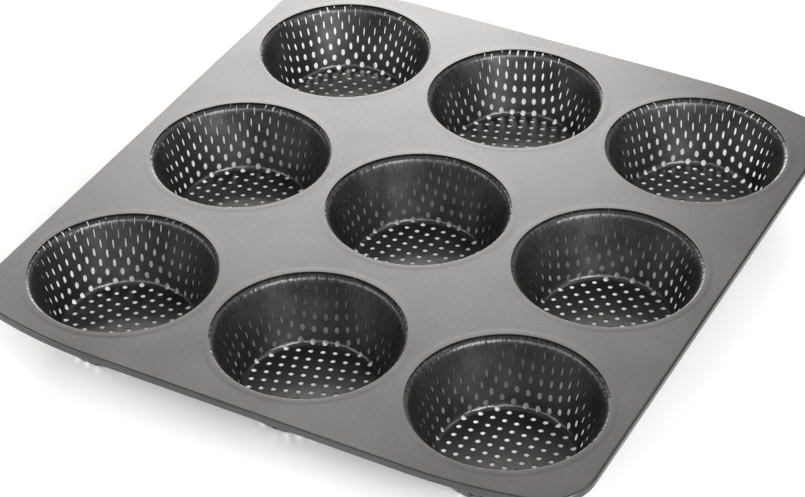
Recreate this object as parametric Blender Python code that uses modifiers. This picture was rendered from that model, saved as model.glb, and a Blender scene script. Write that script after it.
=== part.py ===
"""Bread roll pan: one pressed steel plate with a rolled edge that carries nine deep-drawn, perforated cups.

The pan stands on its nine cup floors. +Z is up, the origin is under the middle of the pan on the
surface that it stands on, the columns run along X and the rows along Y, with the back row at +Y.
"""

import itertools
import math

import bmesh
import bpy
from mathutils import Vector
from mathutils.kdtree import KDTree

MM = 0.001

# Layout of the cups
COLUMN_NAMES = ("left", "centre", "right")
ROW_NAMES = ("front", "middle", "back")
COLUMN_WEB = 3.0 * MM  # flat strip between the raised rims of two columns
ROW_WEB = 10.2 * MM  # flat strip between the raised rims of two rows
SIDE_MARGIN = 5.0 * MM  # flat strip between a raised rim and the rolled edge, left and right
END_MARGIN = 8.3 * MM  # the same at the front and the back

# Sheet metal
PLATE_SHEET = 0.7 * MM
CUP_SHEET = 0.5 * MM
SEAT_GAP = 0.3 * MM  # clearance between a cup's flange and the plate that holds it

# Plate
OPENING_RADIUS = 46.5 * MM  # clear opening over a cup
RIM_FLAT = 2.7 * MM  # width of the flat top of the raised rim round an opening
RIM_SLOPE = 0.7 * MM  # width of the slope from the rim down to the plate
RIM_RISE = 0.06 * MM  # height of the raised rim over the plate
ROLL_RADIUS = 2.0 * MM  # outer radius of the rolled edge
ROLL_TURN = math.radians(240)
EASE_RADIUS = 245.0 * MM  # the front and back edges curve gently back before each corner
EASE_TURN = math.radians(13.7)
CORNER_RADIUS = 25.5 * MM

# Cup, measured on its inside
CUP_DEPTH = 33.4 * MM  # from the top of the raised rim down to the cup floor
WALL_INSET = 1.2 * MM  # how far the line of the wall stands inside the opening at the rim
WALL_SPREAD = 12.4 * MM  # how much wider the wall is at the rim than at the floor
BEND_RADIUS = 2.5 * MM  # between the floor and the wall
SHOULDER_RADIUS = 3.2 * MM  # between the wall and the flange

# Perforation, with wider and fewer holes than the real sheet but as much of it open
FLOOR_HOLE_PITCH = 12.0 * MM
FLOOR_HOLE_WIDTH = 4.7 * MM
FLOOR_HOLE_MARGIN = 1.5 * MM  # least sheet between a hole of the floor and the bend
WALL_HOLE_ROWS = 3
WALL_HOLE_WEB = 2.25 * MM  # sheet between a hole of the wall and the border of its facet

# Facets
OPENING_STEPS = 32
CUP_STEPS = 24
ROLL_STEPS = 8
SHOULDER_STEPS = 2
BEND_STEPS = 2
EASE_STEPS = 3
CORNER_STEPS = 6
WELD_DISTANCE = 0.02 * MM
SHARP_ANGLE = math.radians(35)

# Levels over the surface that the pan stands on
FLOOR_TOP = CUP_SHEET
RIM_TOP = FLOOR_TOP + CUP_DEPTH
PLATE_TOP = RIM_TOP - RIM_RISE
FLANGE_TOP = RIM_TOP - PLATE_SHEET - SEAT_GAP

# Radii round a cup's axis
RIM_RADIUS = OPENING_RADIUS + RIM_FLAT
RIM_FOOT_RADIUS = RIM_RADIUS + RIM_SLOPE
FLANGE_RADIUS = RIM_RADIUS - SEAT_GAP
WALL_TOP_RADIUS = OPENING_RADIUS - WALL_INSET
FLOOR_RADIUS = WALL_TOP_RADIUS - WALL_SPREAD

# Pitches and the outside of the plate
COLUMN_PITCH = 2 * RIM_FOOT_RADIUS + COLUMN_WEB
ROW_PITCH = 2 * RIM_FOOT_RADIUS + ROW_WEB
LAST_COLUMN = (len(COLUMN_NAMES) - 1) / 2 * COLUMN_PITCH
LAST_ROW = (len(ROW_NAMES) - 1) / 2 * ROW_PITCH
HALF_WIDTH = LAST_COLUMN + RIM_FOOT_RADIUS + SIDE_MARGIN + ROLL_RADIUS
HALF_DEPTH = LAST_ROW + RIM_FOOT_RADIUS + END_MARGIN + ROLL_RADIUS


def clear_scene():
    for obj in list(bpy.data.objects):
        bpy.data.objects.remove(obj, do_unlink=True)


def new_material(name, colour, roughness, metallic):
    material = bpy.data.materials.new(name)
    material.use_nodes = True
    shader = material.node_tree.nodes["Principled BSDF"]
    shader.inputs["Base Color"].default_value = (*colour, 1.0)
    shader.inputs["Roughness"].default_value = roughness
    shader.inputs["Metallic"].default_value = metallic
    material.diffuse_color = (*colour, 1.0)
    return material


def cup_centres():
    """Yields each cup's name and the place of its axis."""
    for row, row_name in enumerate(ROW_NAMES):
        for column, column_name in enumerate(COLUMN_NAMES):
            centre = Vector((column * COLUMN_PITCH - LAST_COLUMN, row * ROW_PITCH - LAST_ROW, 0))
            yield f"cup_{row_name}_{column_name}", centre


def circle_points(centre, radius, height, steps):
    points = []
    for step in range(steps):
        angle = 2 * math.pi * step / steps
        offset = Vector((radius * math.cos(angle), radius * math.sin(angle), height))
        points.append(centre + offset)
    return points


def corner_course():
    """One corner of the outline as (point, normal) pairs, from the front line round to the side line.

    The two arcs meet without a kink, so each is laid on where the last one ends. The corner's own
    frame starts on the front line, with X to the side and Y to the back.
    """
    arcs = (
        (EASE_RADIUS, EASE_TURN, EASE_STEPS),
        (CORNER_RADIUS, math.radians(90) - EASE_TURN, CORNER_STEPS),
    )
    point, heading = Vector((0, 0)), 0.0
    course = [(point, Vector((0, -1)))]
    for radius, turn, steps in arcs:
        centre = point + radius * Vector((-math.sin(heading), math.cos(heading)))
        for step in range(1, steps + 1):
            angle = heading + turn * step / steps
            normal = Vector((math.sin(angle), -math.cos(angle)))
            course.append((centre + radius * normal, normal))
        point, heading = course[-1][0], heading + turn
    return course


def plate_outline():
    """The outside of the plate as (point, normal) pairs, counter-clockwise from the front right."""
    course = corner_course()
    extent = course[-1][0]
    outline = []
    for side_x, side_y in ((1, -1), (1, 1), (-1, 1), (-1, -1)):
        corner = []
        for point, normal in course:
            place = Vector((HALF_WIDTH - extent.x + point.x, HALF_DEPTH - point.y))
            corner.append(
                (
                    Vector((side_x * place.x, side_y * place.y)),
                    Vector((side_x * normal.x, -side_y * normal.y)),
                )
            )
        outline += corner if side_x * side_y < 0 else corner[::-1]
    return outline


def offset_outline(outline, inset, height):
    """The outline moved inwards by inset, at a height."""
    return [(point - normal * inset).to_3d() + Vector((0, 0, height)) for point, normal in outline]


def flat_sheet(outer, holes):
    """A flat face with holes, from a filled 2D curve, as a bmesh."""
    curve = bpy.data.curves.new("sheet_outline", "CURVE")
    curve.dimensions = "2D"
    curve.fill_mode = "BOTH"
    for points in [outer, *holes]:
        spline = curve.splines.new("POLY")
        spline.points.add(len(points) - 1)
        spline.use_cyclic_u = True
        for spline_point, point in zip(spline.points, points):
            spline_point.co = (point.x, point.y, 0, 1)
    guide = bpy.data.objects.new("sheet_outline", curve)
    bpy.context.scene.collection.objects.link(guide)
    bpy.context.view_layer.update()
    graph = bpy.context.evaluated_depsgraph_get()
    filled = bpy.data.meshes.new_from_object(guide.evaluated_get(graph))
    bpy.data.objects.remove(guide, do_unlink=True)
    sheet = bmesh.new()
    sheet.from_mesh(filled)
    bpy.data.meshes.remove(filled)
    bmesh.ops.remove_doubles(sheet, verts=sheet.verts, dist=WELD_DISTANCE)
    bmesh.ops.translate(sheet, verts=sheet.verts, vec=(0, 0, outer[0].z))
    for face in sheet.faces:
        if face.normal.z < 0:
            face.normal_flip()
    return sheet


def press_edge(sheet, loops):
    """Draws the sheet on from its open edge through each loop of points. Gives the faces, loop by loop."""
    draws = []
    for start, target in zip(loops, loops[1:]):
        places = KDTree(len(start))
        for index, point in enumerate(start):
            places.insert(point, index)
        places.balance()
        edges = []
        for edge in sheet.edges:
            ends = [places.find(vertex.co)[2] for vertex in edge.verts]
            if edge.is_boundary and max(ends) < WELD_DISTANCE:
                edges.append(edge)
        made = bmesh.ops.extrude_edge_only(sheet, edges=edges)["geom"]
        for vertex in (item for item in made if isinstance(item, bmesh.types.BMVert)):
            vertex.co = target[places.find(vertex.co)[1]]
        draws.append([item for item in made if isinstance(item, bmesh.types.BMFace)])
    return draws


def finish_sheet(name, sheet, material):
    """Turns the sheet's faces to its upper side and makes a smooth mesh of it."""
    bmesh.ops.recalc_face_normals(sheet, faces=sheet.faces)
    if max(sheet.faces, key=lambda face: face.calc_area()).normal.z < 0:
        bmesh.ops.reverse_faces(sheet, faces=sheet.faces)
    mesh = bpy.data.meshes.new(name)
    sheet.to_mesh(mesh)
    sheet.free()
    mesh.shade_smooth()
    mesh.set_sharp_from_angle(angle=SHARP_ANGLE)
    mesh.materials.append(material)
    return mesh


def roll_loops(outline):
    """The loops of the rolled edge: over the top, out, down and back under the plate."""
    loops = []
    for step in range(ROLL_STEPS + 1):
        angle = ROLL_TURN * step / ROLL_STEPS
        inset = ROLL_RADIUS * (1 - math.sin(angle))
        height = PLATE_TOP - ROLL_RADIUS * (1 - math.cos(angle))
        loops.append(offset_outline(outline, inset, height))
    return loops


def rim_loops(centre):
    """The loops of a raised rim, from its foot on the plate in to the opening."""
    return [
        circle_points(centre, RIM_FOOT_RADIUS, PLATE_TOP, OPENING_STEPS),
        circle_points(centre, RIM_RADIUS, RIM_TOP, OPENING_STEPS),
        circle_points(centre, OPENING_RADIUS, RIM_TOP, OPENING_STEPS),
    ]


def add_sheet_thickness(obj, thickness):
    """Gives an open sheet its thickness, on the side away from its normals."""
    solidify = obj.modifiers.new("sheet_thickness", "SOLIDIFY")
    solidify.thickness = thickness
    solidify.offset = -1
    solidify.use_even_offset = True


def place_part(name, mesh, location, carrier):
    part = bpy.data.objects.new(name, mesh)
    carrier.users_collection[0].objects.link(part)
    part.parent = carrier
    part.location = location
    return part


def make_plate_mesh(material):
    """The upper skin of the plate: flat, pressed up round each opening and rolled under at its edge."""
    roll = roll_loops(plate_outline())
    rims = [rim_loops(centre) for _, centre in cup_centres()]
    sheet = flat_sheet(roll[0], [rim[0] for rim in rims])
    for loops in [roll, *rims]:
        press_edge(sheet, loops)
    return finish_sheet("top_plate", sheet, material)


def fillet(corner, before, after, radius, steps):
    """Points of the arc that rounds a corner of a profile between two directions away from it."""
    before, after = before.normalized(), after.normalized()
    half = before.angle(after) / 2
    middle = corner + (before + after).normalized() * radius / math.sin(half)
    start = (corner + before * radius / math.tan(half) - middle).normalized()
    end = (corner + after * radius / math.tan(half) - middle).normalized()
    return [middle + radius * start.slerp(end, step / steps) for step in range(steps + 1)]


def cup_profile():
    """The inside of a cup as (radius, height) points, from its flat floor to the rim of its flange."""
    wall_lean = WALL_SPREAD / CUP_DEPTH
    shoulder = Vector((WALL_TOP_RADIUS - (RIM_TOP - FLANGE_TOP) * wall_lean, FLANGE_TOP))
    bend = Vector((FLOOR_RADIUS, FLOOR_TOP))
    wall = shoulder - bend
    lower = fillet(bend, Vector((-1, 0)), wall, BEND_RADIUS, BEND_STEPS)
    upper = fillet(shoulder, -wall, Vector((1, 0)), SHOULDER_RADIUS, SHOULDER_STEPS)
    rows = [lower[-1].lerp(upper[0], row / WALL_HOLE_ROWS) for row in range(1, WALL_HOLE_ROWS)]
    return [*lower, *rows, *upper, Vector((FLANGE_RADIUS, FLANGE_TOP))]


def floor_holes(reach):
    """Outlines of the square holes across a cup's floor, in rows that leave its middle whole."""
    half = FLOOR_HOLE_WIDTH / 2
    count = math.ceil(reach / FLOOR_HOLE_PITCH)
    places = [(number + 0.5) * FLOOR_HOLE_PITCH for number in range(-count, count)]
    holes = []
    for x, y in itertools.product(places, repeat=2):
        if math.hypot(abs(x) + half, abs(y) + half) < reach:
            corners = (x - half, y - half), (x + half, y - half), (x + half, y + half), (x - half, y + half)
            holes.append([Vector(corner) for corner in corners])
    return holes


def facet_angle(facet):
    middle = facet.calc_center_median()
    return math.atan2(middle.y, middle.x)


def punch_wall(cup, rows):
    """Punches every second facet of each row of the wall, staggered from row to row."""
    for number, row in enumerate(rows):
        punched = sorted(row, key=facet_angle)[number % 2 :: 2]
        bmesh.ops.inset_individual(cup, faces=punched, thickness=WALL_HOLE_WEB, use_even_offset=True)
        bmesh.ops.delete(cup, geom=punched, context="FACES")


def make_cup_mesh(material):
    """The inside skin of a cup, drawn up from its punched floor."""
    profile = cup_profile()
    loops = [circle_points(Vector((0, 0, 0)), point.x, point.y, CUP_STEPS) for point in profile]
    cup = flat_sheet(loops[0], floor_holes(profile[0].x - FLOOR_HOLE_MARGIN))
    draws = press_edge(cup, loops)
    punch_wall(cup, draws[BEND_STEPS : BEND_STEPS + WALL_HOLE_ROWS])
    return finish_sheet("cup", cup, material)


def main():
    clear_scene()
    collection = bpy.data.collections.new("bread_roll_pan")
    bpy.context.scene.collection.children.link(collection)
    carrier = bpy.data.objects.new("pan_frame", None)
    collection.objects.link(carrier)
    plate_coat = new_material("satin_grey_coat", (0.30, 0.29, 0.28), roughness=0.38, metallic=0.55)
    cup_coat = new_material("charcoal_coat", (0.045, 0.045, 0.043), roughness=0.42, metallic=0.35)
    plate = place_part("top_plate", make_plate_mesh(plate_coat), Vector((0, 0, 0)), carrier)
    add_sheet_thickness(plate, PLATE_SHEET)
    cup_mesh = make_cup_mesh(cup_coat)
    for name, centre in cup_centres():
        cup = place_part(name, cup_mesh, centre, carrier)
        add_sheet_thickness(cup, CUP_SHEET)


main()
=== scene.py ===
import math

import bmesh
import bpy
import numpy as np
from mathutils import Matrix, Vector


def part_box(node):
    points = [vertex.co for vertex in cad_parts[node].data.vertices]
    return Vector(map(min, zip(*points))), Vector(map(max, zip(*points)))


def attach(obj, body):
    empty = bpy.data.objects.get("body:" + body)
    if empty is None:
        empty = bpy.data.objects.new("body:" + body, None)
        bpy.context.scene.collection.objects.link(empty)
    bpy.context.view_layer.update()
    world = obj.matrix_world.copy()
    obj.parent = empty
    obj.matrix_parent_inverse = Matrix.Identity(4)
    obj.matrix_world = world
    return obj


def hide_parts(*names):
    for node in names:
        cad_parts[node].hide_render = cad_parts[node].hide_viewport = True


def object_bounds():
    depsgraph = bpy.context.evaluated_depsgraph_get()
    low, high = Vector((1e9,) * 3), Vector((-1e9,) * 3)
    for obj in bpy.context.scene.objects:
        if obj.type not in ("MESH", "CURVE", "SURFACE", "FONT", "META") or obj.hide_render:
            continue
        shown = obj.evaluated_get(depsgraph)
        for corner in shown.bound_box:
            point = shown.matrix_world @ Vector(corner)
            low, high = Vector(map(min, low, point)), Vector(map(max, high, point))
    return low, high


# Bread roll pan: nine perforated cups, each drawn from a flat blank, hung in one coated sheet steel plate.
# Metres throughout, +Z up, with the back row of cups at +Y.
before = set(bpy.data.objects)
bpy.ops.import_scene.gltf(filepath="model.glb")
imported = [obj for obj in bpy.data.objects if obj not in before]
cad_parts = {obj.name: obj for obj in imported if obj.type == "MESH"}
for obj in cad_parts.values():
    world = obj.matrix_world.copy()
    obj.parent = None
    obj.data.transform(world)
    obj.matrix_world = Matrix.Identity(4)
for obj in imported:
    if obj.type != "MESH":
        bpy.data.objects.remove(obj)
cadBox = [list(corner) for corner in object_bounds()]
mm = 0.001
panTop = cadBox[1][2]
sharpAngle = math.radians(40)  # an edge that turns by less is shaded smooth
cupNames = sorted(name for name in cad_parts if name.startswith("cup_"))
print("frame loaded,", len(cupNames), "cups")


def hexColour(code):  # sRGB hex to linear RGBA
    channels = [int(code[start:start + 2], 16) / 255 for start in (0, 2, 4)]
    return [c / 12.92 if c <= 0.04045 else ((c + 0.055) / 1.055) ** 2.4 for c in channels] + [1.0]


def addNode(tree, kind, settings=None, inputs=None):  # an input is a socket to link, or a plain value
    node = tree.nodes.new(kind)
    for name, value in (settings or {}).items():
        setattr(node, name, value)
    for key, value in (inputs or {}).items():
        if isinstance(value, bpy.types.NodeSocket):
            tree.links.new(value, node.inputs[key])
        else:
            node.inputs[key].default_value = value
    return node


def addObject(name, data):
    added = bpy.data.objects.new(name, data)
    bpy.context.scene.collection.objects.link(added)
    return added


def cupCentre(name):
    low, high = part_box(name)
    return Vector(((low.x + high.x) / 2, (low.y + high.y) / 2, 0))


# Camera, at the photograph's place and angle
cameraSizes = {
    "across": 454.93 * mm,  # to the right of the middle of the pan
    "back": -851.14 * mm,  # behind it, so a negative value is in front
    "abovePan": 715.58 * mm,
    "azimuth": math.radians(28.611),
    "elevation": math.radians(37.513),
    "roll": math.radians(-0.923),
    "lens": 108.19,  # focal length in millimetres, on a sensor 36 mm wide
}


def makeCamera():
    camera = addObject("camera", bpy.data.cameras.new("camera"))
    camera.data.lens = cameraSizes["lens"]
    place = Vector((cameraSizes["across"], cameraSizes["back"], panTop + cameraSizes["abovePan"]))
    swing = Matrix.Rotation(cameraSizes["azimuth"], 4, "Z")
    tip = Matrix.Rotation(math.pi / 2 - cameraSizes["elevation"], 4, "X")
    roll = Matrix.Rotation(cameraSizes["roll"], 4, "Z")
    camera.matrix_world = Matrix.Translation(place) @ swing @ tip @ roll
    bpy.context.scene.camera = camera


makeCamera()
print("camera placed")


# Materials: a noise seldom comes near 0 or 1, so each pattern takes only a part of its range
noiseLook = {
    "roughness": 0.55,
    "patches": (0.35, 0.65),
    "shine": (0.3, 0.7),
    "crests": (0.58, 0.78),  # only the highest places of the noise show as flakes
    "swing": 0.3,  # most of a noise lies within this share of its range
}
plateFinish = {
    "dark": "4c4c4c",
    "light": "545454",
    "flake": "a0a0a0",
    "flakeShare": 0.25,
    "flakeSize": 0.5 * mm,  # the real flakes are under 0.1 mm, drawn coarser so that they show
    "flakeDetail": 1.0,
    "patchSize": 60 * mm,
    "patchDetail": 3.0,
    "peelSize": 1.1 * mm,  # orange peel of the sprayed coat
    "peelDetail": 2.0,
    "peelDepth": 0.0012 * mm,
    "roughness": (0.26, 0.33),
    "metallic": 0.89,
}
cupFinish = {
    "dark": "484848",
    "light": "515151",
    "flake": "7e7e7e",
    "flakeShare": 0.3,
    "flakeSize": 0.6 * mm,
    "flakeDetail": 1.0,
    "patchSize": 14 * mm,
    "patchDetail": 3.0,
    "peelSize": 1.6 * mm,
    "peelDetail": 2.0,
    "peelDepth": 0.003 * mm,
    "roughness": (0.28, 0.37),
    "metallic": 0.90,
    "rippleSize": 1.8 * mm,  # the sheet was squeezed round the shoulder, which left fine radial ripples
    "rippleDetail": 1.0,
    "rippleDepth": 0.12 * mm,
    "rippleStretch": 0.12,  # along the ripples the pattern changes at this share of its rate across them
    "rippleFrom": 5.5 * mm,  # the ripples start this far below the top of the pan
    "rippleFull": 3.2 * mm,  # and are at their full depth from here up
    "rippleRoughness": 0.05,  # the coat is that much duller on the ripples
}


def noiseInputs(place, finish, pattern):
    return {
        "Vector": place,
        "Scale": 1 / finish[pattern + "Size"],
        "Detail": finish[pattern + "Detail"],
        "Roughness": noiseLook["roughness"],
    }


def patternShare(tree, place, finish, pattern, heights, values):  # the noise's heights turned into values
    noise = addNode(tree, "ShaderNodeTexNoise", {}, noiseInputs(place, finish, pattern))
    return addNode(tree, "ShaderNodeMapRange", {"clamp": True}, {
        "Value": noise.outputs["Fac"],
        "From Min": heights[0],
        "From Max": heights[1],
        "To Min": values[0],
        "To Max": values[1],
    }).outputs[0]


def patternRelief(tree, place, finish, pattern, others):  # the noise as bumps of the pattern's depth
    noise = addNode(tree, "ShaderNodeTexNoise", {}, noiseInputs(place, finish, pattern))
    return addNode(tree, "ShaderNodeBump", {}, {
        "Height": noise.outputs["Fac"],
        "Distance": finish[pattern + "Depth"] / noiseLook["swing"],
        **others,
    }).outputs["Normal"]


def patchyColour(tree, place, finish):
    return addNode(tree, "ShaderNodeMix", {"data_type": "RGBA"}, {
        0: patternShare(tree, place, finish, "patch", noiseLook["patches"], (0.0, 1.0)),
        6: hexColour(finish["dark"]),
        7: hexColour(finish["light"]),
    }).outputs[2]


def shoulderRipples(tree, place, finish, normal, roughness):
    drawnPlace = addNode(tree, "ShaderNodeAttribute", {"attribute_name": "drawnPlace"}).outputs["Vector"]
    stretched = addNode(tree, "ShaderNodeVectorMath", {"operation": "MULTIPLY"}, {
        0: drawnPlace, 1: (1.0, 1.0, finish["rippleStretch"])}).outputs[0]
    height = addNode(tree, "ShaderNodeSeparateXYZ", {}, {0: place}).outputs["Z"]
    onShoulder = addNode(tree, "ShaderNodeMapRange", {"clamp": True}, {
        "Value": height,
        "From Min": panTop - finish["rippleFrom"],
        "From Max": panTop - finish["rippleFull"],
    }).outputs[0]
    rippled = patternRelief(tree, stretched, finish, "ripple", {"Strength": onShoulder, "Normal": normal})
    duller = addNode(tree, "ShaderNodeMath", {"operation": "MULTIPLY_ADD"}, {
        0: onShoulder, 1: finish["rippleRoughness"], 2: roughness}).outputs[0]
    return rippled, duller


def newMaterial(name):
    material = bpy.data.materials.new(name)
    material.use_nodes = True
    return material, material.node_tree, material.node_tree.nodes["Principled BSDF"]


# Silicone based non-stick coat, sprayed on steel and baked: a dark film so full of fine metal flakes
# that it shines like a dull metal, with a faint orange peel and slow patches where the spray lies thicker.
def sprayedCoat(name, finish):
    material, tree, shader = newMaterial(name)
    place = addNode(tree, "ShaderNodeTexCoord").outputs["Object"]
    colour = addNode(tree, "ShaderNodeMix", {"data_type": "RGBA"}, {
        0: patternShare(tree, place, finish, "flake", noiseLook["crests"], (0.0, finish["flakeShare"])),
        6: patchyColour(tree, place, finish),
        7: hexColour(finish["flake"]),
    }).outputs[2]
    roughness = patternShare(tree, place, finish, "patch", noiseLook["shine"], finish["roughness"])
    normal = patternRelief(tree, place, finish, "peel", {"Strength": 1.0})
    if "rippleSize" in finish:
        normal, roughness = shoulderRipples(tree, place, finish, normal, roughness)
    tree.links.new(colour, shader.inputs["Base Color"])
    tree.links.new(roughness, shader.inputs["Roughness"])
    tree.links.new(normal, shader.inputs["Normal"])
    shader.inputs["Metallic"].default_value = finish["metallic"]
    return material


# Steel punched through after it was coated: its cut faces are painted near black, as painted shade for the
# gap under the plate's edge and inside the holes.
cutShadeFinish = {
    "dark": "141414",
    "light": "262423",
    "patchSize": 3 * mm,
    "patchDetail": 2.0,
    "metallic": 0.6,
    "roughness": 0.55,
}


def paintedShadeCut():
    material, tree, shader = newMaterial("cutPaintedShade")
    place = addNode(tree, "ShaderNodeTexCoord").outputs["Object"]
    # near-black patchy colour: painted shade on the cut faces
    tree.links.new(patchyColour(tree, place, cutShadeFinish), shader.inputs["Base Color"])
    shader.inputs["Metallic"].default_value = cutShadeFinish["metallic"]
    shader.inputs["Roughness"].default_value = cutShadeFinish["roughness"]
    return material


plateCoat = sprayedCoat("satinPlateCoat", plateFinish)
cupCoat = sprayedCoat("satinCupCoat", cupFinish)
# the cut faces' material, painted dark to stand in for shade
cutShadeMaterial = paintedShadeCut()
print("coatings made")


# The plate: flat sheet, raised a little round each opening, with a hem turned under at its edge
plateSizes = {
    "sheet": 0.7 * mm,
    "openingRadius": 46.5 * mm,
    "rimFlat": 2.7 * mm,
    "rimSlope": 0.7 * mm,
    "rimRise": 0.04 * mm,
    "rimBlend": 0.7 * mm,  # the soft bends reach this far past the slope
    "hemHeight": 4.0 * mm,
    "hemWidth": 4.0 * mm,
    "hemCorner": 1.0 * mm,
    "easeRadius": 245.0 * mm,
    "easeTurn": math.radians(13.7),
    "cornerRadius": 25.5 * mm,
    "shadeBand": 0.6 * mm,  # flat border that keeps the shading of the bends off the flat
    "cutRound": 0.12 * mm,  # the coat rounds the corners of the cut by this much
    "cutBand": 0.36 * mm,  # a border like the shadeBand beside them ends this far from the cut
    "cutTilt": 0.01,  # the cut stands upright, so its normal rises or falls by less than this
    "circleSteps": 160,
    "slopeSteps": 8,
    "noseSteps": 3,
    "hemSteps": 8,
    "easeSteps": 20,
    "cornerSteps": 26,
}


def cornerCourse():  # (point, normal) from the straight front edge round to the straight side edge
    arcs = [
        (plateSizes["easeRadius"], plateSizes["easeTurn"], plateSizes["easeSteps"]),
        (plateSizes["cornerRadius"], math.pi / 2 - plateSizes["easeTurn"], plateSizes["cornerSteps"]),
    ]
    point, heading = Vector((0, 0)), 0.0
    course = [(point, Vector((0, -1)))]
    for radius, turn, steps in arcs:
        middle = point + radius * Vector((-math.sin(heading), math.cos(heading)))
        for step in range(1, steps + 1):
            angle = heading + turn * step / steps
            normal = Vector((math.sin(angle), -math.cos(angle)))
            course.append((middle + radius * normal, normal))
        point, heading = course[-1][0], heading + turn
    return course


def plateOutline():
    course = cornerCourse()
    low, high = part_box("top_plate")
    reach = Vector((high.x - course[-1][0].x, high.y))
    outline = []
    for sideX, sideY in ((1, -1), (1, 1), (-1, 1), (-1, -1)):
        corner = [(Vector((sideX * (reach.x + point.x), sideY * (reach.y - point.y))),
                   Vector((sideX * normal.x, -sideY * normal.y))) for point, normal in course]
        outline += corner if sideX * sideY < 0 else corner[::-1]
    return outline


def edgeSection():  # (inset from the outside, height), over the hem and back along its inside
    sheet, corner, steps = plateSizes["sheet"], plateSizes["hemCorner"], plateSizes["hemSteps"]
    plateTop = panTop - plateSizes["rimRise"]
    hemBottom = plateTop - plateSizes["hemHeight"]
    section = []
    for inside in (0.0, sheet):
        bend = corner - inside
        face = [(corner + plateSizes["shadeBand"], plateTop - inside)]
        for height, first in ((plateTop - corner, 0.0), (hemBottom + corner, 0.5)):
            for step in range(steps + 1):
                angle = math.pi * (first + step / steps / 2)
                face.append((corner - bend * math.sin(angle), height + bend * math.cos(angle)))
        face.append((plateSizes["hemWidth"], hemBottom + inside))
        section += face[::-1] if inside else face
    return section


def openingSection():  # (radius, height), over the raised rim and round its edge to the underside
    sheet, steps = plateSizes["sheet"], plateSizes["slopeSteps"]
    crest = plateSizes["openingRadius"] + plateSizes["rimFlat"]
    start = crest + plateSizes["rimSlope"] + plateSizes["rimBlend"]
    end = crest - plateSizes["rimBlend"]
    slope = []
    for step in range(steps + 1):
        share = step / steps
        lift = share * share * (3 - 2 * share)
        slope.append((start + (end - start) * share, panTop - plateSizes["rimRise"] * (1 - lift)))
    slope.insert(0, (start + plateSizes["shadeBand"], panTop - plateSizes["rimRise"]))
    radius, corner = plateSizes["openingRadius"], plateSizes["cutRound"]
    nose = [(radius + plateSizes["cutBand"], panTop)]
    for height, first in ((panTop - corner, 0.5), (panTop - sheet + corner, 1.0)):
        for step in range(plateSizes["noseSteps"] + 1):
            angle = math.pi * (first + step / plateSizes["noseSteps"] / 2)
            nose.append((radius + corner * (1 + math.cos(angle)), height + corner * math.sin(angle)))
    nose.append((radius + plateSizes["cutBand"], panTop - sheet))
    return slope + nose + [(radius, height - sheet) for radius, height in reversed(slope)]


def ringPoints(centre, radius, height):
    angles = [2 * math.pi * step / plateSizes["circleSteps"] for step in range(plateSizes["circleSteps"])]
    return [centre + Vector((radius * math.cos(a), radius * math.sin(a), height)) for a in angles]


def joinRings(shape, rings):  # skins a row of closed rings, and gives the first and the last one's edges
    made = [[shape.verts.new(point) for point in ring] for ring in rings]
    for ring, following in zip(made, made[1:]):
        for index in range(len(ring)):
            shape.faces.new((ring[index - 1], ring[index], following[index], following[index - 1]))
    return [[shape.edges.get((ring[index - 1], ring[index])) for index in range(len(ring))]
            for ring in (made[0], made[-1])]


def cutsInPaintedShade(shape):  # the cut of each opening, between its rounded corners, takes the near-black material: painted shade for the gap under the edge
    low, high = panTop - plateSizes["sheet"] + plateSizes["cutRound"], panTop - plateSizes["cutRound"]
    centres = [cupCentre(name).to_2d() for name in cupNames]
    for face in shape.faces:
        middle = face.calc_center_median()
        if low < middle.z < high and abs(face.normal.z) < plateSizes["cutTilt"]:
            out = min((middle.to_2d() - centre).length for centre in centres)
            if out < plateSizes["openingRadius"] + plateSizes["cutRound"]:
                face.material_index = 1


def makePlate():
    shape = bmesh.new()
    outline = plateOutline()
    skins = [joinRings(shape, [[(point - normal * inset).to_3d() + Vector((0, 0, height))
                                for point, normal in outline] for inset, height in edgeSection()])]
    for name in cupNames:
        rings = [ringPoints(cupCentre(name), radius, height) for radius, height in openingSection()]
        skins.append(joinRings(shape, rings))
    for side in (0, 1):  # the flat top, then the flat underside
        edges = [edge for skin in skins for edge in skin[side]]
        bmesh.ops.triangle_fill(shape, edges=edges, use_beauty=True)
    bmesh.ops.recalc_face_normals(shape, faces=shape.faces)
    cutsInPaintedShade(shape)
    mesh = bpy.data.meshes.new("plateSheet")
    shape.to_mesh(mesh)
    shape.free()
    mesh.shade_smooth()
    mesh.set_sharp_from_angle(angle=sharpAngle)
    mesh.materials.append(plateCoat)
    mesh.materials.append(cutShadeMaterial)
    plate = addObject("plateSheet", mesh)
    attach(plate, "root")
    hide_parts("top_plate")


makePlate()
print("plate made")


# The cups: each is a perforated blank, drawn down so that its sheet keeps its area
cupSizes = {
    "sheet": 0.5 * mm,
    "wallInset": 1.2 * mm,  # at the height of the pan's top, the wall would be this far inside the opening
    "wallSpread": 12.4 * mm,  # and at the floor it is this much further in
    "bendRadius": 2.5 * mm,
    "shoulderRadius": 3.2 * mm,
    "sampleStep": 0.1 * mm,
}
perforation = {
    "pitch": 6.0 * mm,
    "holeDiameter": 2.65 * mm,
    "holePoints": 24,
    "collarShare": 0.4,  # where the ring between a hole and its cell's border lies
    "weld": 0.01 * mm,
    "wholeFace": 0.999,  # a face counts as all outside when more than this share of its points are
}
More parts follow.
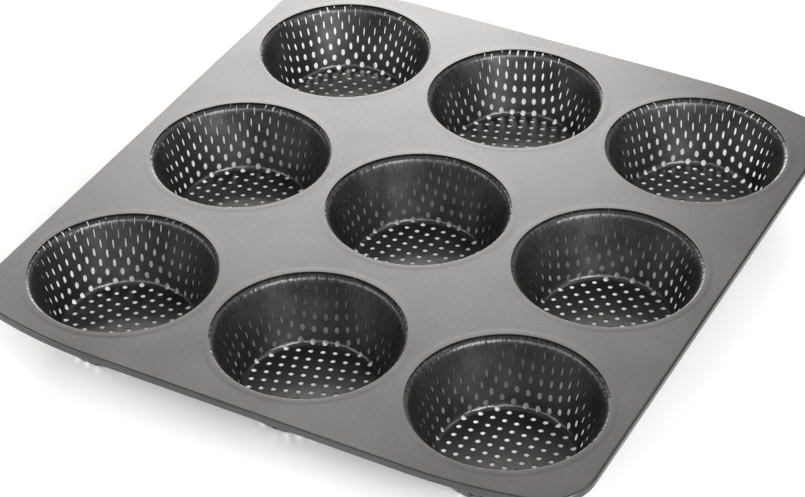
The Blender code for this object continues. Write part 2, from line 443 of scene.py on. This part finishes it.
# How each blank lay in the press: its turn in degrees and its shift in shares of the pitch,
# then how far its wall slid on from there, as a further turn and shift
blankPlaces = {
    "cup_back_left": (-30.7, -0.06, 0.06, 0.5, 0.03, 0.01),
    "cup_back_centre": (18.6, 0.09, -0.44, 0.9, 0.09, -0.02),
    "cup_back_right": (-26.5, 0.50, 0.36, 0.3, 0.03, 0.03),
    "cup_middle_left": (-2.4, 0.00, 0.31, 0.4, 0.08, 0.02),
    "cup_middle_centre": (-3.4, -0.31, -0.47, 0.7, 0.06, 0.01),
    "cup_middle_right": (-43.9, 0.14, 0.02, 0.7, 0.06, 0.01),
    "cup_front_left": (-8.8, 0.43, -0.45, 1.3, 0.07, 0.01),
    "cup_front_centre": (18.7, 0.13, 0.46, 0.7, 0.06, 0.01),
    "cup_front_right": (4.2, 0.43, -0.34, 0.7, 0.06, 0.01),
}
# How the perforated sheet flowed: lift and gather grow with the share drawn and with its square
flow = {
    "punchRadius": 30.0 * mm,  # inside this the blank stays flat
    "reach": 30.0 * mm,  # the share drawn grows to 1 over this
    "lift": (2.1 * mm, -3.9 * mm),  # up the wall, beyond where an even sheet would go
    "liftOnAxes": (0.0 * mm, -0.5 * mm),  # more on the axes of the grid of holes, and less on its diagonals
    "gather": (0.035, -0.013),  # radians, towards the diagonals
    "closing": (0.55, 0.37),  # holes get narrower by these shares: at the wall's top and on the diagonals
    "stretch": (0.17, 0.23, 0.3),  # and longer by these: all up the wall, on the diagonals, and at the top
    "closingStart": 0.15,  # share drawn at which the holes start to close
    "closingFull": 0.88,  # and at which they are as narrow as they get
    "slideWidth": 6.0 * mm,  # outside the punch, the slide of the wall grows to its whole over this
    "edgeWidth": 4.0 * mm,  # the blank's edge stays round over this width, under the plate
}


def bendPoints(corner, before, after, radius, spacing):  # an arc between the two legs that meet at the corner
    before, after = before.normalized(), after.normalized()
    half = before.angle(after) / 2
    middle = corner + (before + after).normalized() * radius / math.sin(half)
    start = (corner + before * radius / math.tan(half) - middle).normalized()
    end = (corner + after * radius / math.tan(half) - middle).normalized()
    steps = math.ceil(radius * start.angle(end) / spacing)
    return [middle + radius * start.slerp(end, step / steps) for step in range(steps + 1)]


def cupSection(flangeRadius, flangeTop):  # the inside of a cup as (radius, height), from the axis outwards
    lean = cupSizes["wallSpread"] / (panTop - cupSizes["sheet"])
    topRadius = plateSizes["openingRadius"] - cupSizes["wallInset"]
    shoulder = Vector((topRadius - (panTop - flangeTop) * lean, flangeTop))
    bend = Vector((topRadius - cupSizes["wallSpread"], cupSizes["sheet"]))
    wall = shoulder - bend
    spacing = cupSizes["sampleStep"]
    corners = [
        Vector((0, cupSizes["sheet"])),
        *bendPoints(bend, Vector((-1, 0)), wall, cupSizes["bendRadius"], spacing),
        *bendPoints(shoulder, -wall, Vector((1, 0)), cupSizes["shoulderRadius"], spacing),
        Vector((flangeRadius, flangeTop)),
    ]
    section = []
    for first, second in zip(corners, corners[1:]):
        steps = math.ceil((second - first).length / spacing)
        section += [first.lerp(second, step / steps) for step in range(steps)]
    return np.array([*section, corners[-1]])


def lengthAlong(section):
    return np.concatenate([[0], np.cumsum(np.hypot(*np.diff(section, axis=0).T))])


def grow(pair, share):  # one part grows with the share, the other with its square
    return pair[0] * share + pair[1] * share ** 2


def drawnShare(radii):  # 0 under the punch, and larger the further out in the blank
    return np.maximum((radii - flow["punchRadius"]) / flow["reach"], 0)


def blankRadii(section):  # how far out each point of the section would lie in a blank that keeps its area
    radii = section[:, 0]
    areas = np.cumsum((radii[1:] + radii[:-1]) * np.diff(lengthAlong(section)))
    return np.sqrt(np.concatenate([[0], areas]))


def makeBlankTree():
    tree = bpy.data.node_groups.new("perforatedBlank", "GeometryNodeTree")
    tree.interface.new_socket("Geometry", in_out="OUTPUT", socket_type="NodeSocketGeometry")
    for name, kind in (
        ("Pitch", "Float"),
        ("Hole Diameter", "Float"),
        ("Hole Points", "Int"),
        ("Collar Share", "Float"),
        ("Weld", "Float"),
        ("Blank Radius", "Float"),
        ("Turn", "Float"),
        ("Shift X", "Float"),
        ("Shift Y", "Float"),
        ("Coat", "Material"),
    ):
        tree.interface.new_socket(name, in_out="INPUT", socket_type="NodeSocket" + kind)
    given = addNode(tree, "NodeGroupInput").outputs
    place = addNode(tree, "GeometryNodeInputPosition").outputs[0]
    axes = addNode(tree, "ShaderNodeSeparateXYZ", {}, {0: place}).outputs

    # sums with the inputs: each gets a name, an operation and the one or two values that it works on
    sockets = {socket.name: socket for socket in (*given, *axes)}
    for name, operation, *values in (
        ("reachX", "ABSOLUTE", "X"),
        ("reachY", "ABSOLUTE", "Y"),
        ("reach", "MAXIMUM", "reachX", "reachY"),
        ("halfPitch", "MULTIPLY", "Pitch", 0.5),
        ("toBorder", "DIVIDE", "halfPitch", "reach"),
        ("holeRadius", "MULTIPLY", "Hole Diameter", 0.5),
        ("pitchesOut", "DIVIDE", "Blank Radius", "Pitch"),
        ("cellsOut", "CEIL", "pitchesOut"),
        ("cellsKept", "ADD", "cellsOut", 1.0),
        ("cellsAcross", "MULTIPLY", "cellsKept", 2.0),
        ("gridSize", "MULTIPLY", "cellsAcross", "Pitch"),
        ("gridPoints", "ADD", "cellsAcross", 1.0),
        ("moveX", "MULTIPLY", "Shift X", "Pitch"),
        ("moveY", "MULTIPLY", "Shift Y", "Pitch"),
        ("keepRadius", "ADD", "Blank Radius", "Pitch"),
    ):
        inputs = {index: sockets.get(value, value) for index, value in enumerate(values)}
        sockets[name] = addNode(tree, "ShaderNodeMath", {"operation": operation}, inputs).outputs[0]

    # one square cell of sheet round one hole
    border = addNode(tree, "ShaderNodeVectorMath", {"operation": "SCALE"}, {
        0: place, "Scale": sockets["toBorder"]}).outputs[0]
    collar = addNode(tree, "ShaderNodeMix", {"data_type": "VECTOR"}, {
        0: given["Collar Share"], 4: place, 5: border}).outputs[1]
    shape = addNode(tree, "GeometryNodeMeshCircle", {"fill_type": "NONE"}, {
        "Vertices": given["Hole Points"], "Radius": sockets["holeRadius"]}).outputs[0]
    edge = None
    for target in (collar, border):
        grown = addNode(tree, "GeometryNodeExtrudeMesh", {"mode": "EDGES"}, {
            "Mesh": shape, "Offset Scale": 0.0})
        if edge:
            tree.links.new(edge, grown.inputs["Selection"])
        edge = grown.outputs["Top"]
        shape = addNode(tree, "GeometryNodeSetPosition", {}, {
            "Geometry": grown.outputs["Mesh"], "Selection": edge, "Position": target}).outputs[0]

    # the cells side by side on a grid, turned and shifted as the blank lay
    grid = addNode(tree, "GeometryNodeMeshGrid", {}, {
        "Size X": sockets["gridSize"],
        "Size Y": sockets["gridSize"],
        "Vertices X": sockets["gridPoints"],
        "Vertices Y": sockets["gridPoints"],
    }).outputs[0]
    shift = addNode(tree, "ShaderNodeCombineXYZ", {}, {0: sockets["moveX"], 1: sockets["moveY"]}).outputs[0]
    grid = addNode(tree, "GeometryNodeSetPosition", {}, {"Geometry": grid, "Offset": shift}).outputs[0]
    distance = addNode(tree, "ShaderNodeVectorMath", {"operation": "LENGTH"}, {0: place}).outputs["Value"]
    near = addNode(tree, "FunctionNodeCompare", {"data_type": "FLOAT", "operation": "LESS_THAN"}, {
        0: distance, 1: sockets["keepRadius"]}).outputs[0]
    spreadOut = addNode(tree, "GeometryNodeInstanceOnPoints", {}, {
        "Points": grid, "Selection": near, "Instance": shape}).outputs[0]
    sheet = addNode(tree, "GeometryNodeRealizeInstances", {}, {0: spreadOut}).outputs[0]
    turn = addNode(tree, "ShaderNodeCombineXYZ", {}, {2: given["Turn"]}).outputs[0]
    sheet = addNode(tree, "GeometryNodeTransform", {}, {"Geometry": sheet, "Rotation": turn}).outputs[0]
    sheet = addNode(tree, "GeometryNodeMergeByDistance", {}, {
        "Geometry": sheet, "Distance": given["Weld"]}).outputs[0]

    # cut round: what lies all outside goes, and the rest is drawn in to the edge
    outside = addNode(tree, "FunctionNodeCompare", {"data_type": "FLOAT", "operation": "GREATER_EQUAL"}, {
        0: distance, 1: given["Blank Radius"]}).outputs[0]
    perPoint = addNode(tree, "GeometryNodeFieldOnDomain", {"data_type": "FLOAT", "domain": "POINT"}, {
        0: outside}).outputs[0]
    allOutside = addNode(tree, "FunctionNodeCompare", {"data_type": "FLOAT", "operation": "GREATER_THAN"}, {
        0: perPoint, 1: perforation["wholeFace"]}).outputs[0]
    sheet = addNode(tree, "GeometryNodeDeleteGeometry", {"domain": "FACE", "mode": "ALL"}, {
        "Geometry": sheet, "Selection": allOutside}).outputs[0]
    rim = addNode(tree, "ShaderNodeVectorMath", {"operation": "NORMALIZE"}, {0: place}).outputs[0]
    rim = addNode(tree, "ShaderNodeVectorMath", {"operation": "SCALE"}, {
        0: rim, "Scale": given["Blank Radius"]}).outputs[0]
    sheet = addNode(tree, "GeometryNodeSetPosition", {}, {
        "Geometry": sheet, "Selection": outside, "Position": rim}).outputs[0]
    sheet = addNode(tree, "GeometryNodeSetMaterial", {}, {
        "Geometry": sheet, "Material": given["Coat"]}).outputs[0]
    addNode(tree, "NodeGroupOutput", {}, {0: sheet})
    return tree


def plainMesh(modified):
    graph = bpy.context.evaluated_depsgraph_get()
    return bpy.data.meshes.new_from_object(
        modified.evaluated_get(graph), preserve_all_data_layers=True, depsgraph=graph)


def makeBlank(tree, name, blankRadius):
    turn, shiftX, shiftY = blankPlaces[name][:3]
    values = {
        "Pitch": perforation["pitch"],
        "Hole Diameter": perforation["holeDiameter"],
        "Hole Points": perforation["holePoints"],
        "Collar Share": perforation["collarShare"],
        "Weld": perforation["weld"],
        "Blank Radius": blankRadius,
        "Turn": math.radians(turn),
        "Shift X": shiftX,
        "Shift Y": shiftY,
        "Coat": cupCoat,
    }
    carrier = addObject("blankCarrier", bpy.data.meshes.new("blankCarrier"))
    modifier = carrier.modifiers.new("perforatedBlank", "NODES")
    modifier.node_group = tree
    for socket in tree.interface.items_tree:
        if socket.in_out == "INPUT":
            modifier[socket.identifier] = values[socket.name]
    blank = plainMesh(carrier)
    bpy.data.objects.remove(carrier)
    if blank.polygons[0].normal.z < 0:
        blank.flip_normals()
    return blank


def closeHoles(flat, name, blankRadius):  # narrows and lengthens each hole inside its cell
    pitch, holeRadius = perforation["pitch"], perforation["holeDiameter"] / 2
    turn, shiftX, shiftY = blankPlaces[name][:3]
    spin = np.exp(1j * math.radians(turn))
    shift = complex(shiftX, shiftY)
    cell = flat / spin / pitch - shift
    cell = (np.round(cell.real) + 1j * np.round(cell.imag) + shift) * pitch * spin
    offset = flat - cell
    local = offset / spin
    border = np.abs(local) * pitch / 2 / np.maximum(np.abs(local.real), np.abs(local.imag))
    nearHole = np.clip((border - np.abs(local)) / (border - holeRadius), 0, 1)  # 0 at the cell's border
    nearHole[np.abs(flat) > blankRadius - perforation["weld"]] = 0
    outwards = cell / np.abs(cell)
    share = drawnShare(np.abs(cell))
    span = flow["closingFull"] - flow["closingStart"]
    late = np.clip((share - flow["closingStart"]) / span, 0, 1)
    soon = 1 - (1 - late) ** 2
    diagonal = np.imag((outwards / spin) ** 2) ** 4  # 1 on the diagonals of the grid of holes, 0 on its axes
    atTop = late ** 2
    closing = flow["closing"][0] * atTop + flow["closing"][1] * soon * diagonal
    begun = np.clip(share / flow["closingStart"], 0, 1)
    stretch = flow["stretch"][0] * begun + flow["stretch"][1] * soon * diagonal + flow["stretch"][2] * atTop
    offset = offset / outwards
    offset = offset.real * (1 + nearHole * stretch) + 1j * offset.imag * (1 - nearHole * closing)
    return cell + offset * outwards


def slideWall(flat, name, blankRadius):  # turns and shifts the wall's part, and leaves the floor and the edge
    turn, *_, twist, slideX, slideY = blankPlaces[name]
    out = np.abs(flat)
    begun = np.clip((out - flow["punchRadius"]) / flow["slideWidth"], 0, 1)
    held = begun * np.clip((blankRadius - out) / flow["edgeWidth"], 0, 1)
    slide = complex(slideX, slideY) * perforation["pitch"] * np.exp(1j * math.radians(turn))
    return flat * np.exp(1j * math.radians(twist) * held) + slide * held


def drawBlank(blank, name, section, table, blankRadius):  # from the flat blank to the drawn cup
    places = np.empty(len(blank.vertices) * 3, np.float32)
    blank.vertices.foreach_get("co", places)
    places = places.reshape(-1, 3).astype(float)
    flat = closeHoles(places[:, 0] + 1j * places[:, 1], name, blankRadius)
    flat = slideWall(flat, name, blankRadius)
    out, angle = np.abs(flat), np.angle(flat)
    share = drawnShare(out)
    fourfold = 4 * (angle - math.radians(blankPlaces[name][0]))
    free = np.clip((blankRadius - out) / flow["edgeWidth"], 0, 1)
    along = np.interp(out, *table) + grow(flow["liftOnAxes"], share) * np.cos(fourfold) * free
    angle += grow(flow["gather"], share) * np.sin(fourfold) * free
    reach = np.interp(along, lengthAlong(section), section[:, 0])
    heights = np.interp(along, lengthAlong(section), section[:, 1])
    centre = cupCentre(name)
    drawn = np.column_stack([reach * np.cos(angle) + centre.x, reach * np.sin(angle) + centre.y, heights])
    blank.vertices.foreach_set("co", drawn.astype(np.float32).ravel())

    # the same place on an upright tube, so that the ripples run straight down the sheet
    rim = plateSizes["openingRadius"]
    onTube = np.column_stack([rim * np.cos(angle) + centre.x, rim * np.sin(angle) + centre.y, along])
    drawnPlace = blank.attributes.new("drawnPlace", "FLOAT_VECTOR", "POINT")
    drawnPlace.data.foreach_set("vector", onTube.astype(np.float32).ravel())
    blank.update()


def makeCup(tree, name):
    low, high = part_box(name)
    flangeRadius = (high.x - low.x) / 2
    section = cupSection(flangeRadius, high.z)

    # how far along the section each radius of the blank comes, worked out to a little past its edge
    wider = cupSection(flangeRadius + flow["edgeWidth"], high.z)
    radii = blankRadii(wider)
    table = radii, lengthAlong(wider) + grow(flow["lift"], drawnShare(radii))
    blankRadius = np.interp(lengthAlong(section)[-1], table[1], radii)

    blank = makeBlank(tree, name, blankRadius)
    drawBlank(blank, name, section, table, blankRadius)
    blank.materials.append(cutShadeMaterial)
    drawn = addObject("drawnBlank", blank)
    solidify = drawn.modifiers.new("sheet", "SOLIDIFY")
    solidify.thickness = cupSizes["sheet"]
    solidify.offset = -1  # the drawn surface is the inside of the cup
    solidify.material_offset_rim = 1  # the sides of the holes and the outer edge take the cut material, painted near black as painted shade
    mesh = plainMesh(drawn)
    bpy.data.objects.remove(drawn)
    mesh.name = name + "Perforated"
    mesh.shade_smooth()
    mesh.set_sharp_from_angle(angle=sharpAngle)
    cup = addObject(name + "Perforated", mesh)
    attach(cup, "root")
    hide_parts(name)
    return cup


blankTree = makeBlankTree()
for cupName in cupNames:
    cup = makeCup(blankTree, cupName)
    print(cupName, "drawn,", len(cup.data.polygons), "faces")


# Stage: a plain pale floor in a ring of softboxes, the brightest at the right and a weak one overhead
stageSizes = {
    "floorHalf": 4.0,  # metres from its middle to each side
    "floorDrop": 0.1 * mm,  # how far the floor lies under the cups
    "floorColour": "fdfdfd",
    "floorRoughness": 0.9,
    "skyStrength": 0.0,  # all light comes from the softboxes
    "lightDistance": 1.5,
    "clothPower": 4.0,  # watts that make a square metre of cloth look white, for a brightness of 1
}
whiteCloth, warmCloth = "ffffff", "fffdfb"
# Azimuth, clockwise from the back, and elevation in degrees, width and height in metres,
# and the brightness and colour of the cloth
softboxes = {
    "right": (116, 30, 0.745, 0.53, 12.6, whiteCloth),
    "rightHigh": (52, 50, 0.70, 0.53, 2.4, whiteCloth),
    "rightLow": (84, 10, 0.85, 0.53, 1.1, whiteCloth),
    "frontRight": (148, 30, 0.745, 0.53, 4.2, whiteCloth),
    "front": (188, 30, 0.745, 0.53, 2.9, whiteCloth),
    "frontLeft": (228, 30, 0.745, 0.53, 4.6, whiteCloth),
    "leftLow": (260, 10, 0.85, 0.53, 1.85, whiteCloth),
    "left": (-52, 30, 0.55, 0.53, 3.5, warmCloth),
    "behindLow": (-28, 10, 0.63, 0.53, 10.5, warmCloth),
    "behindLeft": (-28, 30, 0.55, 0.53, 4.9, warmCloth),
    "behindHigh": (-28, 50, 0.70, 0.53, 0.9, warmCloth),
    "behind": (-4, 30, 0.55, 0.53, 1.25, warmCloth),
    "behindRight": (20, 10, 0.63, 0.53, 1.45, warmCloth),
    "overhead": (0, 85, 1.40, 1.40, 0.40, whiteCloth),
}


def makeStage():
    floor = addObject("floor", bpy.data.meshes.new("floor"))
    half, drop = stageSizes["floorHalf"], stageSizes["floorDrop"]
    corners = [(x * half, y * half, -drop) for x, y in ((-1, -1), (1, -1), (1, 1), (-1, 1))]
    floor.data.from_pydata(corners, [], [(0, 1, 2, 3)])
    paper, _, shader = newMaterial("paleFloor")
    shader.inputs["Base Color"].default_value = hexColour(stageSizes["floorColour"])
    shader.inputs["Roughness"].default_value = stageSizes["floorRoughness"]
    shader.inputs["Specular IOR Level"].default_value = 0.0  # paper without any shine
    floor.data.materials.append(paper)
    world = bpy.data.worlds.new("softSky")
    world.use_nodes = True
    world.node_tree.nodes["Background"].inputs["Color"].default_value = (1, 1, 1, 1)
    world.node_tree.nodes["Background"].inputs["Strength"].default_value = stageSizes["skyStrength"]
    bpy.context.scene.world = world
    for name, (azimuth, elevation, width, height, brightness, colour) in softboxes.items():
        light = addObject(name, bpy.data.lights.new(name, "AREA"))
        light.data.shape = "RECTANGLE"
        light.data.size, light.data.size_y = width, height
        light.data.energy = stageSizes["clothPower"] * width * height * brightness
        light.data.color = hexColour(colour)[:3]
        turn, rise = math.radians(azimuth), math.radians(elevation)
        towards = Vector((math.sin(turn) * math.cos(rise), math.cos(turn) * math.cos(rise), math.sin(rise)))
        light.location = towards * stageSizes["lightDistance"]
        light.rotation_euler = towards.to_track_quat("Z", "Y").to_euler()
    bpy.context.scene.view_settings.view_transform = "Standard"
    bpy.context.scene.view_settings.look = "None"


makeStage()
print("stage set")
